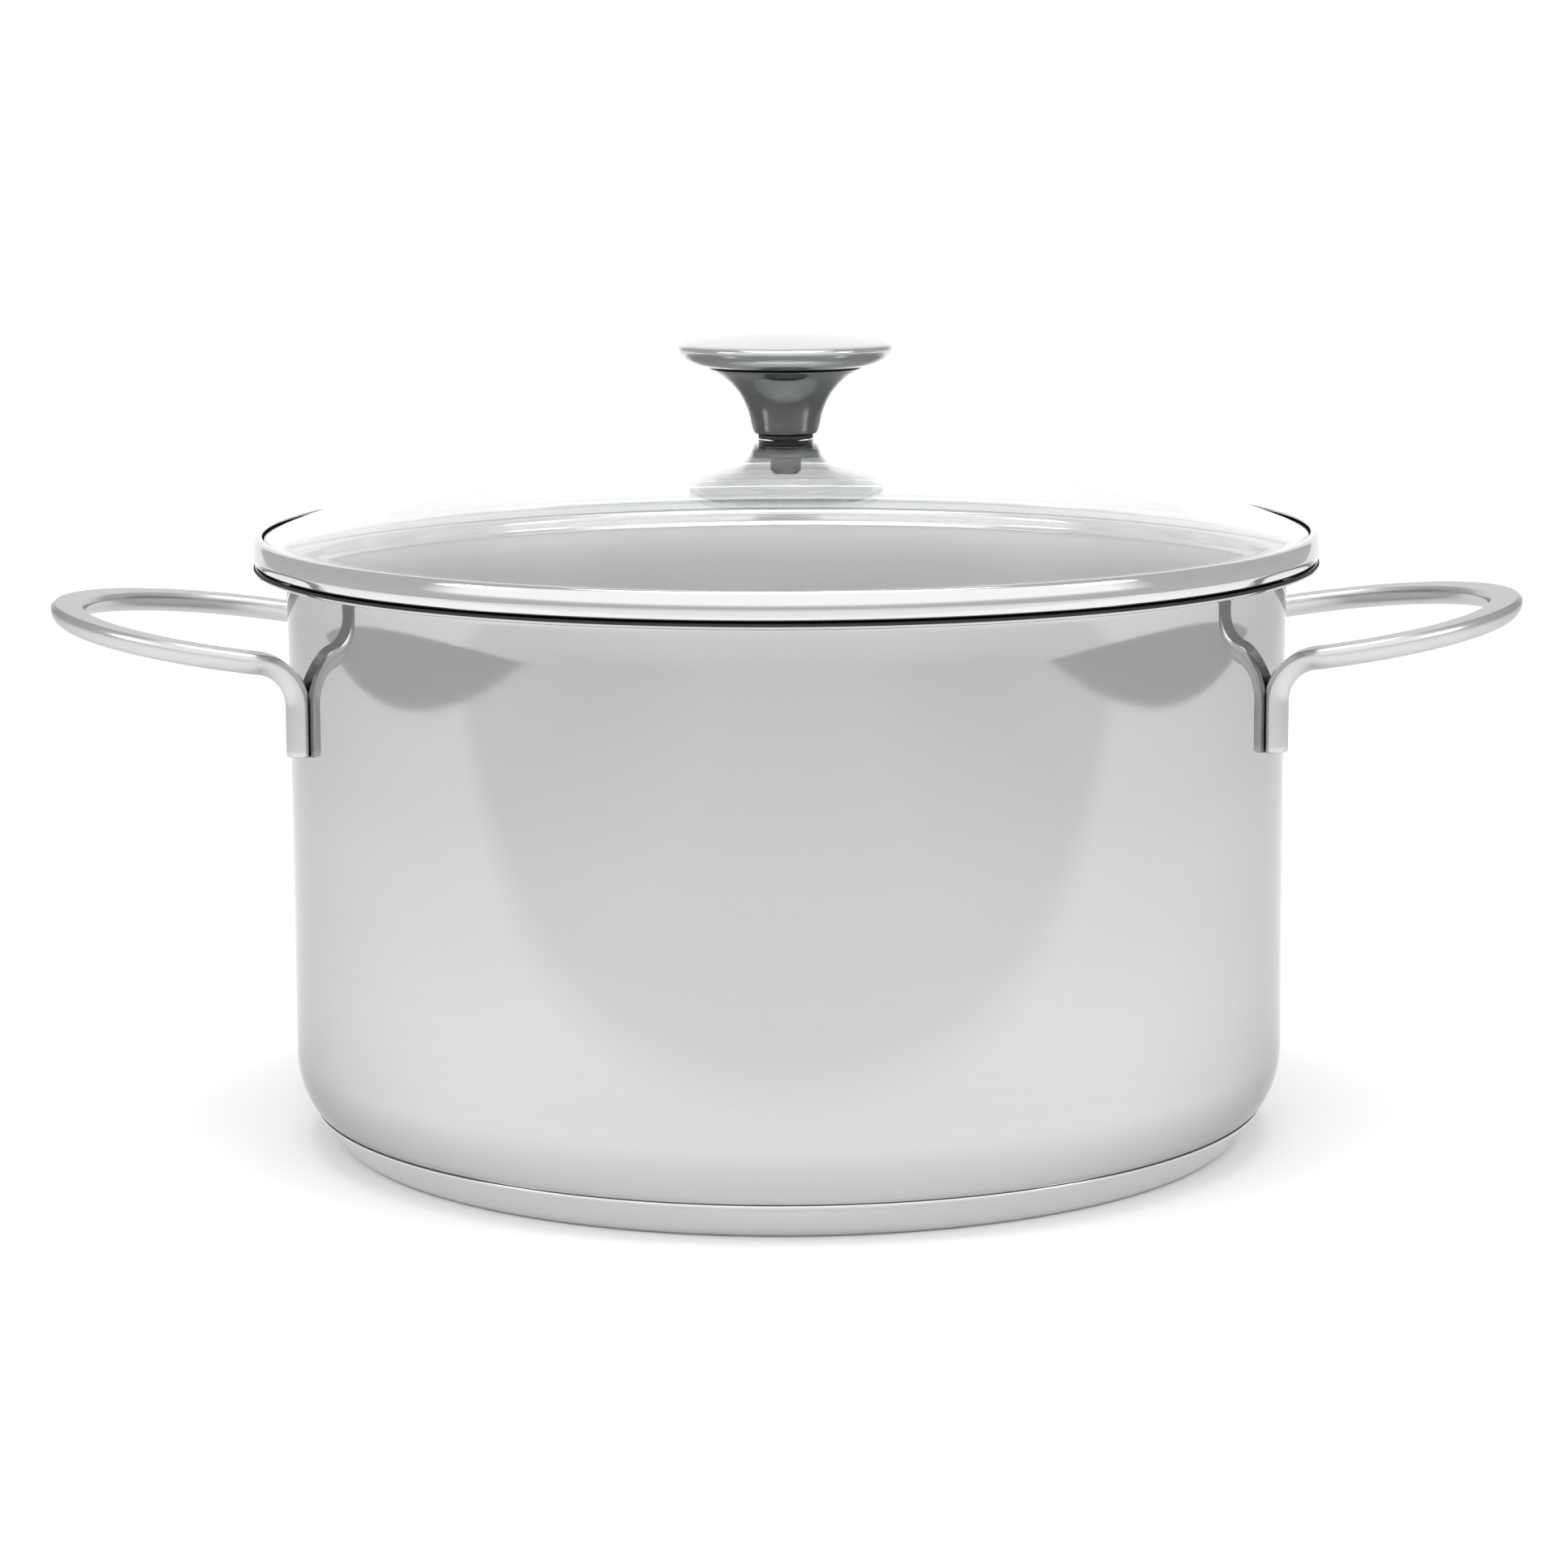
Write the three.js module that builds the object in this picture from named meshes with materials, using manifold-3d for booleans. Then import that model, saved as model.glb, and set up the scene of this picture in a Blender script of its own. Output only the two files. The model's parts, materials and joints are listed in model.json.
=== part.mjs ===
// A lidded stainless steel cooking pot, 24 cm across, with two loop handles.
//
// Millimetres, +Z up. The origin is the centre of the circle that the pot stands on.
// The handles lie along X and the front of the pot faces -Y.
//
// The pot body: a drawn steel shell, an aluminium heat-spreading disc under it, a steel
// cap that closes the disc in, and two welded rod handles.
// The lid: a tempered glass dome in a steel ring with a silicone bedding, and a knob that
// one screw clamps through a hole in the glass.

import * as THREE from 'three';
import { mergeVertices } from 'three/addons/utils/BufferGeometryUtils.js';
import Module from 'manifold-3d';

const wasm = await Module();
wasm.setup();

// ---- driving dimensions ----

const GAP = 0.3;              // clearance left between neighbouring pieces
const RING_SEGMENTS = 48;     // facets round the wide pieces
const KNOB_SEGMENTS = 24;     // facets round the knob and its screw stack

// pot shell
const WALL_R = 120.6;         // outside of the straight wall
const WALL_T = 0.9;           // sheet thickness
const CORNER_W = 9.4;         // the bottom corner is a quarter ellipse: its half width ...
const CORNER_H = 16.0;        // ... and its half height
const SHELL_FLOOR_Z = 6.6;    // underside of the shell's flat bottom
const RIM_FOOT_Z = 138.4;     // where the straight wall turns out into the rim
const LIP_R = 128.4;          // outside of the rolled lip
const LIP_TOP_Z = 140.9;
const LIP_HALF_H = 0.75;      // the lip's edge is a half round of this radius

// base disc and cap
const CAP_FLAT_R = 108.6;     // edge of the flat that the pot stands on
const CAP_TOP_R = 116.6;      // where the cap meets the shell's corner
const CAP_TOP_Z = 9.1;
const CAP_T = 0.7;
const CORE_R = 107.5;

// lid
const RING_R = 128.6;         // outside of the lid's steel ring
const RING_T = 0.6;           // its sheet thickness
const RING_FOOT_Z = LIP_TOP_Z + GAP;
const RING_TOP_Z = 147.8;
const RING_INNER_R = 126.2;   // inner edge of the ring's top fold
const SKIRT_R = 118.9;        // outside of the skirt that centres the lid in the pot
const SKIRT_FOOT_Z = 137.2;
const DOME_R = 368.0;         // sphere radius of the glass, outside
const DOME_TOP_Z = 169.2;
const GLASS_T = 4.0;
const GLASS_EDGE_R = 127.2;
const GLASS_HOLE_R = 4.6;
const BEDDING_INNER_R = 122.5;
const SEAL_GAP = 0.2;         // clearance left beside the soft seals

// knob and its screw stack
const KNOB_TOP_Z = 194.3;
const KNOB_R = 25.9;          // widest radius of the disc
const KNOB_WIDEST_Z = 191.2;
const CREASE_R = 18.6;        // where the disc meets the stem
const CREASE_Z = 186.4;
const STEM_FOOT_R = 7.4;
const STEM_FOOT_Z = 170.6;
const BUSH_R = 4.0;
const SCREW_R = 2.0;
const SCREW_HEAD_R = 3.7;
const SCREW_HEAD_H = 3.4;
const WASHER_R = 8.0;
const WASHER_T = 1.0;
const GASKET_T = 0.6;
const GASKET_R = 5.3;         // the upper gasket, under the stem

// handles
const ROD_HALF_W = 4.1;       // half the width of the D-shaped rod
const ROD_FLAT_HALF_W = 3.2;  // half the width of its flat side
const ROD_T = 5.2;            // thickness, flat side to round side
const ROD_SHOULDER = 1.15;    // depth of the bevel beside the flat
const TAB_ANGLE = 20.4 * Math.PI / 180;  // each tab's place round the wall, from the X axis
const TAB_FOOT_Z = 99.0;
const TAB_GROUND = 0.9;       // how deep the tabs are ground away to fit the wall's curve
const BEND_R = 10.4;          // bend radius of the rod's middle line
const LOOP_X = 129.5;         // where the loop is widest
const LOOP_Y = 46.6;          // its half width there
const LOOP_REACH = 44.7;      // from there to the loop's far end
const LOOP_FLAT_Z = 124.8;    // height of the flat side where the loop is widest
const LOOP_SLOPE = 0.14;      // rise of the loop away from the pot
const ROD_STEPS = 56;

// ---- shared helpers ----

const steel = { metalness: 1.0, roughness: 0.12, color: 0xd2d2d4 };
const satinSteel = { metalness: 1.0, roughness: 0.3, color: 0xc4c4c6 };
const silicone = { metalness: 0.0, roughness: 0.6, color: 0x2a2a2c };

const potRoot = new THREE.Group();

function addPiece(name, geometry, look) {
  const piece = new THREE.Mesh(geometry, new THREE.MeshStandardMaterial(look));
  piece.name = name;
  potRoot.add(piece);
  return piece;
}

// A ring or a disc: a closed outline of [radius, height] points, counterclockwise.
function turned(outline, segments) {
  const points = outline.map(([r, z]) => new THREE.Vector2(r, z));
  const onAxis = outline[0][0] === 0;
  if (!onAxis) points.push(points[0].clone());
  const geometry = new THREE.LatheGeometry(points, segments);
  return geometry.rotateX(Math.PI / 2);
}

// A plain ring with a rectangular section.
function washer(innerR, outerR, footZ, topZ) {
  return turned([[innerR, footZ], [outerR, footZ], [outerR, topZ], [innerR, topZ]], KNOB_SEGMENTS);
}

// Points along an ellipse arc in the [radius, height] plane, angles in quarter turns.
function arc(centreR, centreZ, halfW, halfH, from, to, count) {
  return Array.from({ length: count + 1 }, (_, i) => {
    const angle = (from + (to - from) * i / count) * Math.PI / 2;
    return [centreR + halfW * Math.cos(angle), centreZ + halfH * Math.sin(angle)];
  });
}

// A smooth line through a few [radius, height] points.
function smooth(points, count) {
  const curve = new THREE.SplineCurve(points.map(([r, z]) => new THREE.Vector2(r, z)));
  return curve.getPoints(count).map((p) => [p.x, p.y]);
}

// ---- pot shell ----

function potShell() {
  const cornerR = WALL_R - CORNER_W;
  const cornerZ = SHELL_FLOOR_Z + CORNER_H;
  const outerCorner = arc(cornerR, cornerZ, CORNER_W, CORNER_H, -1, 0, 6);
  const innerCorner = arc(cornerR, cornerZ, CORNER_W - WALL_T, CORNER_H - WALL_T, 0, -1, 6);
  const rimUnderside = [
    [WALL_R, RIM_FOOT_Z],
    [WALL_R + 1.0, RIM_FOOT_Z + 0.7],
    [LIP_R - LIP_HALF_H - 0.4, LIP_TOP_Z - 2 * LIP_HALF_H],
  ];
  const lip = arc(LIP_R - LIP_HALF_H, LIP_TOP_Z - LIP_HALF_H, LIP_HALF_H, LIP_HALF_H, -1, 1, 4);
  const rimTop = [
    [LIP_R - 2.2, LIP_TOP_Z - 0.3],
    [WALL_R + 0.6, RIM_FOOT_Z + 1.6],
    [WALL_R - WALL_T, RIM_FOOT_Z + 0.6],
  ];
  const outline = [
    [0, SHELL_FLOOR_Z], ...outerCorner, ...rimUnderside, ...lip,
    ...rimTop, ...innerCorner, [0, SHELL_FLOOR_Z + WALL_T],
  ];
  return turned(outline, RING_SEGMENTS);
}

// ---- base: aluminium disc and the steel cap round it ----

function baseCap() {
  return turned([
    [0, 0],
    [CAP_FLAT_R, 0],
    [CAP_FLAT_R + 1.2, 0.4],
    [CAP_FLAT_R + 3.1, CAP_TOP_Z / 3],
    [CAP_TOP_R - 2.2, CAP_TOP_Z * 2 / 3],
    [CAP_TOP_R, CAP_TOP_Z],
    [CAP_TOP_R - 0.9, CAP_TOP_Z - 0.9],
    [CAP_TOP_R - 2.8, CAP_TOP_Z * 2 / 3 + 0.4],
    [CAP_FLAT_R + 2.5, CAP_TOP_Z / 3 + 0.4],
    [CAP_FLAT_R + 0.7, CAP_T + 0.3],
    [CAP_FLAT_R, CAP_T],
    [0, CAP_T],
  ], RING_SEGMENTS);
}

function baseCore() {
  const footZ = CAP_T + GAP;
  const topZ = SHELL_FLOOR_Z - GAP;
  return turned([
    [0, footZ],
    [CORE_R, footZ],
    [CORE_R + 2.5, footZ + 2.4],
    [CORE_R + 3.0, topZ],
    [0, topZ],
  ], RING_SEGMENTS);
}

// ---- handles ----

// Part of an ellipse in space: centre + a * cos(turn) + b * sin(turn).
class EllipseArc extends THREE.Curve {
  constructor(centre, a, b, from, to) {
    super();
    Object.assign(this, { centre, a, b, from, to });
  }

  getPoint(t, target = new THREE.Vector3()) {
    const turn = this.from + (this.to - this.from) * t;
    return target.copy(this.centre)
      .addScaledVector(this.a, Math.cos(turn))
      .addScaledVector(this.b, Math.sin(turn));
  }
}

// The same curve run the other way.
class Backwards extends THREE.Curve {
  constructor(curve) {
    super();
    this.curve = curve;
  }

  getPoint(t, target = new THREE.Vector3()) {
    return this.curve.getPoint(1 - t, target);
  }
}

// The direction straight out of the wall at the near tab (side -1) or the far one (side 1).
function outOfWall(side) {
  return new THREE.Vector3(Math.cos(TAB_ANGLE), side * Math.sin(TAB_ANGLE), 0);
}

// A path whose frames keep the section's +X towards the wall on the tabs and turn it
// upwards over the bends, so that it faces up on the loop.
class RodPath extends THREE.CurvePath {
  computeFrenetFrames(segments) {
    const frames = { tangents: [], normals: [], binormals: [] };
    const loopUp = new THREE.Vector3(-LOOP_SLOPE, 0, 1).normalize();
    for (let i = 0; i <= segments; i++) {
      const along = this.getTangentAt(i / segments);
      const out = outOfWall(i < segments / 2 ? -1 : 1);
      const facing = loopUp.clone().addScaledVector(out, -Math.abs(along.dot(loopUp)));
      const across = along.clone().cross(facing).normalize();
      frames.tangents.push(along);
      frames.normals.push(across.clone().cross(along));
      frames.binormals.push(across);
    }
    return frames;
  }
}

// The rod's middle line, for the handle at +X: up the near tab, out along the near leg,
// round the loop and back down the far tab.
function rodPath() {
  const loopZ = (x) => LOOP_FLAT_Z - ROD_T / 2 + LOOP_SLOPE * (x - LOOP_X);
  const slopeAngle = Math.atan(LOOP_SLOPE * Math.cos(TAB_ANGLE));
  const tabR = WALL_R + GAP + ROD_T / 2 - TAB_GROUND;
  const bendR = tabR + BEND_R;
  const legR = bendR - BEND_R * Math.sin(slopeAngle);
  const legX = legR * Math.cos(TAB_ANGLE);
  const bendZ = loopZ(legX) - BEND_R * Math.cos(slopeAngle);
  const side = (sign) => {
    const out = outOfWall(sign);
    const at = (r, z) => out.clone().multiplyScalar(r).setZ(z);
    const reach = 0.4 * (LOOP_X - legX);
    const legStart = at(legR, loopZ(legX));
    const legEnd = new THREE.Vector3(LOOP_X, sign * LOOP_Y, loopZ(LOOP_X));
    const alongLeg = new THREE.Vector3(reach, sign * reach * Math.tan(TAB_ANGLE), reach * LOOP_SLOPE);
    const alongLoop = new THREE.Vector3(-reach, 0, -reach * LOOP_SLOPE);
    return {
      foot: at(tabR, TAB_FOOT_Z),
      bendStart: at(tabR, bendZ),
      bend: new EllipseArc(at(bendR, bendZ), out.clone().multiplyScalar(-BEND_R),
        new THREE.Vector3(0, 0, BEND_R), 0, Math.PI / 2 - slopeAngle),
      leg: new THREE.CubicBezierCurve3(legStart, legStart.clone().add(alongLeg),
        legEnd.clone().add(alongLoop), legEnd),
    };
  };
  const near = side(-1);
  const far = side(1);
  const loop = new EllipseArc(new THREE.Vector3(LOOP_X, 0, loopZ(LOOP_X)),
    new THREE.Vector3(0, -LOOP_Y, 0),
    new THREE.Vector3(LOOP_REACH, 0, LOOP_REACH * LOOP_SLOPE), 0, Math.PI);
  const path = new RodPath();
  path.add(new THREE.LineCurve3(near.foot, near.bendStart));
  path.add(near.bend);
  path.add(near.leg);
  path.add(loop);
  path.add(new Backwards(far.leg));
  path.add(new Backwards(far.bend));
  path.add(new THREE.LineCurve3(far.bendStart, far.foot));
  return path;
}

// The D-shaped section, its flat side at +X.
function rodSection() {
  const flat = ROD_T / 2;
  const shoulder = flat - ROD_SHOULDER;
  const section = new THREE.Shape();
  section.moveTo(flat, -ROD_FLAT_HALF_W);
  section.lineTo(flat, ROD_FLAT_HALF_W);
  section.lineTo(shoulder, ROD_HALF_W);
  section.absellipse(shoulder, 0, ROD_T - ROD_SHOULDER, ROD_HALF_W, Math.PI / 2, Math.PI * 1.5, false, 0);
  section.lineTo(flat, -ROD_FLAT_HALF_W);
  return section;
}

// A handle is one bent rod, its two tabs ground to the curve of the wall they stand against.
function handle() {
  const rod = new THREE.ExtrudeGeometry(rodSection(), {
    steps: ROD_STEPS,
    curveSegments: 6,
    bevelEnabled: false,
    extrudePath: rodPath(),
  });
  const wall = new THREE.CylinderGeometry(WALL_R + GAP, WALL_R + GAP, 2 * LIP_TOP_Z, RING_SEGMENTS);
  return subtract(rod, wall.rotateX(Math.PI / 2));
}

// ---- lid: glass, ring and bedding ----

// Height of a sphere about the lid's axis, its top at topZ, at a distance r from the axis.
function sphereZ(radius, topZ, r) {
  return topZ - radius + Math.sqrt(radius * radius - r * r);
}

// Points on the glass, outside or inside, from one distance to another.
function glassLine(depth, fromR, toR, count) {
  return Array.from({ length: count + 1 }, (_, i) => {
    const r = fromR + (toR - fromR) * i / count;
    return [r, sphereZ(DOME_R - depth, DOME_TOP_Z - depth, r)];
  });
}

function lidGlass() {
  const inside = glassLine(GLASS_T, GLASS_HOLE_R, GLASS_EDGE_R, 7);
  const outside = glassLine(0, GLASS_EDGE_R, GLASS_HOLE_R, 7);
  return turned([...inside, ...outside], RING_SEGMENTS);
}

// One strip of sheet: an outer band with its top folded over the glass and its foot curled
// under, a web that rests on the pot's lip, and a skirt that centres the lid.
function lidRing() {
  const webTopZ = RING_FOOT_Z + RING_T;
  const skirtInnerR = SKIRT_R - RING_T;
  const bandInnerR = RING_R - RING_T;
  return turned([
    [SKIRT_R, SKIRT_FOOT_Z],
    [SKIRT_R, RING_FOOT_Z - 0.5],
    [SKIRT_R + 0.5, RING_FOOT_Z],
    [RING_R - 1.0, RING_FOOT_Z],
    [RING_R - 0.5, RING_FOOT_Z + 0.4],
    [RING_R, RING_FOOT_Z + 2.0],
    [RING_R, RING_TOP_Z - 1.1],
    [RING_R - 0.3, RING_TOP_Z - 0.4],
    [RING_R - 1.0, RING_TOP_Z],
    [RING_INNER_R, RING_TOP_Z],
    [RING_INNER_R, RING_TOP_Z - 0.5],
    [bandInnerR - 0.5, RING_TOP_Z - RING_T],
    [bandInnerR, RING_TOP_Z - 1.1],
    [bandInnerR, RING_FOOT_Z + 2.0],
    [bandInnerR - 0.6, webTopZ],
    [skirtInnerR + 0.6, webTopZ],
    [skirtInnerR, webTopZ - 0.6],
    [skirtInnerR, SKIRT_FOOT_Z],
  ], RING_SEGMENTS);
}

// The silicone wedge that the glass lies on, between it and the ring's web.
function rimBedding() {
  const footZ = RING_FOOT_Z + RING_T + SEAL_GAP;
  const outerR = GLASS_EDGE_R - 0.6;
  const under = (r) => sphereZ(DOME_R - GLASS_T, DOME_TOP_Z - GLASS_T, r) - SEAL_GAP;
  return turned([
    [BEDDING_INNER_R, footZ],
    [outerR, footZ],
    [outerR, under(outerR)],
    [BEDDING_INNER_R, under(BEDDING_INNER_R)],
  ], RING_SEGMENTS);
}

// ---- knob ----

// The disc: a shallow dome on top, a rounded edge, and an underside that slopes to the stem.
function knobCap() {
  const topEdgeR = KNOB_R - 1.3;
  const topEdgeZ = KNOB_WIDEST_Z + 1.2;
  const domeRise = KNOB_TOP_Z - topEdgeZ;
  const dome = [0.75, 0.4, 0].map((share) => [topEdgeR * share, KNOB_TOP_Z - domeRise * share * share]);
  return turned([
    [0, CREASE_Z + GAP],
    [CREASE_R, CREASE_Z + GAP],
    [KNOB_R - 3.5, CREASE_Z + 1.2],
    [KNOB_R - 1.4, CREASE_Z + 2.4],
    [KNOB_R - 0.5, CREASE_Z + 3.6],
    [KNOB_R, KNOB_WIDEST_Z],
    [KNOB_R - 0.4, KNOB_WIDEST_Z + 0.8],
    [topEdgeR, topEdgeZ],
    ...dome,
  ], KNOB_SEGMENTS);
}

// The trumpet-shaped stem, bored from below for the threaded bush.
function knobStem() {
  const boreR = BUSH_R + GAP;
  const boreTopZ = STEM_FOOT_Z + 10.8;
  const flare = smooth([
    [STEM_FOOT_R, STEM_FOOT_Z],
    [STEM_FOOT_R + 0.6, STEM_FOOT_Z + 1.0],
    [9.3, STEM_FOOT_Z + 5.9],
    [11.5, CREASE_Z - 5.7],
    [14.8, CREASE_Z - 2.3],
    [CREASE_R, CREASE_Z],
  ], 10);
  return turned([[0, boreTopZ], [boreR, boreTopZ], [boreR, STEM_FOOT_Z], ...flare, [0, CREASE_Z]],
    KNOB_SEGMENTS);
}

// ---- screw stack through the glass ----

const glassFootZ = DOME_TOP_Z - GLASS_T;
const lowerGasketTopZ = glassFootZ - SEAL_GAP;
const washerTopZ = lowerGasketTopZ - GASKET_T - SEAL_GAP;
const screwSeatZ = washerTopZ - WASHER_T - SEAL_GAP;
const holeR = SCREW_R + GAP;

// A pan head screw with a cross recess, its shank pointing up into the knob.
function lidScrew() {
  const headFootZ = screwSeatZ - SCREW_HEAD_H;
  const body = turned([
    [0, headFootZ],
    [SCREW_HEAD_R - 1.0, headFootZ],
    [SCREW_HEAD_R, headFootZ + 1.0],
    [SCREW_HEAD_R, screwSeatZ],
    [SCREW_R, screwSeatZ],
    [SCREW_R, STEM_FOOT_Z + 7.4],
    [SCREW_R - 0.6, STEM_FOOT_Z + 8.0],
    [0, STEM_FOOT_Z + 8.0],
  ], KNOB_SEGMENTS);
  const slot = (w, d) => new THREE.BoxGeometry(w, d, 2.4).translate(0, 0, headFootZ);
  return subtract(subtract(body, slot(4.0, 0.9)), slot(0.9, 4.0));
}

// ---- solids by cutting ----

// The geometry as a closed solid, with its shared corners joined.
function toSolid(geometry) {
  const bare = geometry.clone();
  bare.deleteAttribute('normal');
  bare.deleteAttribute('uv');
  const joined = mergeVertices(bare, 1e-4);
  const mesh = new wasm.Mesh({
    numProp: 3,
    vertProperties: new Float32Array(joined.attributes.position.array),
    triVerts: new Uint32Array(joined.index.array),
  });
  return new wasm.Manifold(mesh);
}

// The first geometry with the second one cut away.
function subtract(geometry, tool) {
  const mesh = toSolid(geometry).subtract(toSolid(tool)).getMesh();
  const result = new THREE.BufferGeometry();
  result.setAttribute('position', new THREE.BufferAttribute(mesh.vertProperties, 3));
  result.setIndex(new THREE.BufferAttribute(mesh.triVerts, 1));
  result.computeVertexNormals();
  return result;
}

// ---- the assembly ----

addPiece('pot_shell', potShell(), steel);
addPiece('base_core', baseCore(), { metalness: 1.0, roughness: 0.5, color: 0xb8b9bc });
addPiece('base_cap', baseCap(), steel);
addPiece('handle_right', handle(), satinSteel);
addPiece('handle_left', handle().rotateZ(Math.PI), satinSteel);
addPiece('lid_glass', lidGlass(),
  { metalness: 0.0, roughness: 0.05, color: 0xe6ecea, transparent: true, opacity: 0.35 });
addPiece('lid_ring', lidRing(), steel);
addPiece('rim_bedding', rimBedding(), silicone);
addPiece('knob_cap', knobCap(), satinSteel);
addPiece('knob_stem', knobStem(), satinSteel);
addPiece('knob_bush', washer(holeR, BUSH_R, STEM_FOOT_Z + GAP, STEM_FOOT_Z + 10.2),
  { metalness: 1.0, roughness: 0.35, color: 0xc8a25a });
addPiece('upper_gasket', washer(holeR, GASKET_R, DOME_TOP_Z + SEAL_GAP, STEM_FOOT_Z - SEAL_GAP), silicone);
addPiece('glass_grommet', washer(holeR, GLASS_HOLE_R - GAP, glassFootZ, DOME_TOP_Z), silicone);
addPiece('lower_gasket', washer(holeR, WASHER_R, lowerGasketTopZ - GASKET_T, lowerGasketTopZ), silicone);
addPiece('clamp_washer', washer(holeR, WASHER_R, washerTopZ - WASHER_T, washerTopZ), satinSteel);
addPiece('lid_screw', lidScrew(), satinSteel);

export default potRoot;
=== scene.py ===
# %% [markdown]
# # A lidded steel cooking pot
# This lesson builds the outside of a 24 cm pot around a finished CAD model of it. The CAD
# model says where every piece lies and how it moves. Here each piece gets a smooth surface
# and the finish that the real one has: mirror steel, satin steel, tempered glass, silicone.
# All lengths are in metres, +Z is up, the handles lie along X and the front faces -Y.

# %% Load the frame
import json
import math
import bpy
import numpy as np
from mathutils import Matrix, Vector


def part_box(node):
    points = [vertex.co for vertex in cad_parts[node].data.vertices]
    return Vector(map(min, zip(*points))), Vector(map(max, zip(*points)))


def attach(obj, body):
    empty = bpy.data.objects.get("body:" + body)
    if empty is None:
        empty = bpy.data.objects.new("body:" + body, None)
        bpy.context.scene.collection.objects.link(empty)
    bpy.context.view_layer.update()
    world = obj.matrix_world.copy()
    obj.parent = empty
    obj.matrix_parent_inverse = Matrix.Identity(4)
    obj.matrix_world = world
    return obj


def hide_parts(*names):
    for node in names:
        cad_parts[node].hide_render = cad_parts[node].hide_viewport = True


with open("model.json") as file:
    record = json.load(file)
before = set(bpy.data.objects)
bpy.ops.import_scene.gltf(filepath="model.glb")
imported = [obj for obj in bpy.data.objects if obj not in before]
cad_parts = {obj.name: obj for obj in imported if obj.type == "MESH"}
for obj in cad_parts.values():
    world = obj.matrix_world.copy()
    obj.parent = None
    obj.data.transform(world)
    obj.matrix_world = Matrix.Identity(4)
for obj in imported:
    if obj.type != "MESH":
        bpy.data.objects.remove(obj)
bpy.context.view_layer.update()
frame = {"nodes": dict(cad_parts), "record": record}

MM = 0.001
scene = bpy.context.scene

# %% [markdown]
# ## Surfaces from numbers
# Every new piece is a grid of points: one parameter runs along an outline or a path, and
# the other runs round it. numpy works the whole grid out at once, and `skin` turns it into
# a mesh. Where a row of the grid shrinks to one point, it becomes a pole with a fan of
# triangles, so that the piece stays closed.

# %% The mesh maker
AROUND = 224            # points round each turned piece


def skin(name, points, close_rows=False, poles=(False, False)):
    """Mesh of a (rows, columns, 3) grid whose columns close round.

    Each face joins row i to i + 1 and column j to j + 1. With close_rows the last row joins
    the first. A pole stands for a row that has shrunk to one point: its quads lose the side
    of no length and become triangles."""
    rows, cols = points.shape[:2]
    number = np.arange(rows * cols).reshape(rows, cols)
    if poles[0]:
        number[0] = number[0, 0]
    if poles[1]:
        number[-1] = number[-1, 0]
    bands = rows if close_rows else rows - 1
    i, j = np.meshgrid(np.arange(bands), np.arange(cols), indexing="ij")
    i2, j2 = (i + 1) % rows, (j + 1) % cols
    quads = np.stack([number[i, j], number[i, j2], number[i2, j2], number[i2, j]], -1)
    quads = quads.reshape(-1, 4)
    u, u2, v, v2 = j / cols, (j + 1) / cols, i / bands, (i + 1) / bands
    uv = np.stack([u, v, u2, v, u2, v2, u, v2], -1).reshape(-1, 4, 2)
    following = np.roll(quads, -1, axis=1)
    keep = quads != following
    used, corner = np.unique(quads[keep], return_inverse=True)
    sides = keep.sum(1)
    mesh = bpy.data.meshes.new(name)
    mesh.vertices.add(len(used))
    mesh.vertices.foreach_set("co", points.reshape(-1, 3)[used].astype(np.float32).ravel())
    mesh.loops.add(len(corner))
    mesh.loops.foreach_set("vertex_index", corner.astype(np.int32).ravel())
    mesh.polygons.add(len(quads))
    mesh.polygons.foreach_set("loop_start", (np.cumsum(sides) - sides).astype(np.int32))
    mesh.polygons.foreach_set("loop_total", sides.astype(np.int32))
    mesh.polygons.foreach_set("use_smooth", np.ones(len(quads), bool))
    mesh.uv_layers.new(name="UVMap").data.foreach_set("uv", uv[keep].astype(np.float32).ravel())
    mesh.update()
    mesh.validate()
    piece = bpy.data.objects.new(name, mesh)
    scene.collection.objects.link(piece)
    return piece


def triangles(piece):
    """How many triangles the piece has: a face with n corners makes n - 2."""
    return len(piece.data.loops) - 2 * len(piece.data.polygons)


def face_data(mesh, what, size=3):
    """One property of all faces, as an array with a row for each face."""
    values = np.empty(len(mesh.polygons) * size, np.float32)
    mesh.polygons.foreach_get(what, values)
    return values.reshape(-1, size)


# %% [markdown]
# ## Turned pieces
# The shell, the lid and the knob are all round, so each is one outline carried round the Z
# axis. The outline is a list of points in millimetres, [radius, height]. `eased` rounds
# every sharp corner with a small curve and leaves smooth stretches as they are. Real sheet
# and real turned edges are never perfectly sharp, and a tiny radius is what catches a thin
# line of light.

# %% Outlines and turning
SHARP = math.cos(math.radians(16))      # a turn of more than this is a corner
EDGE_SHARE = 0.45                       # a corner's curve takes at most this much of an edge


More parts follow.
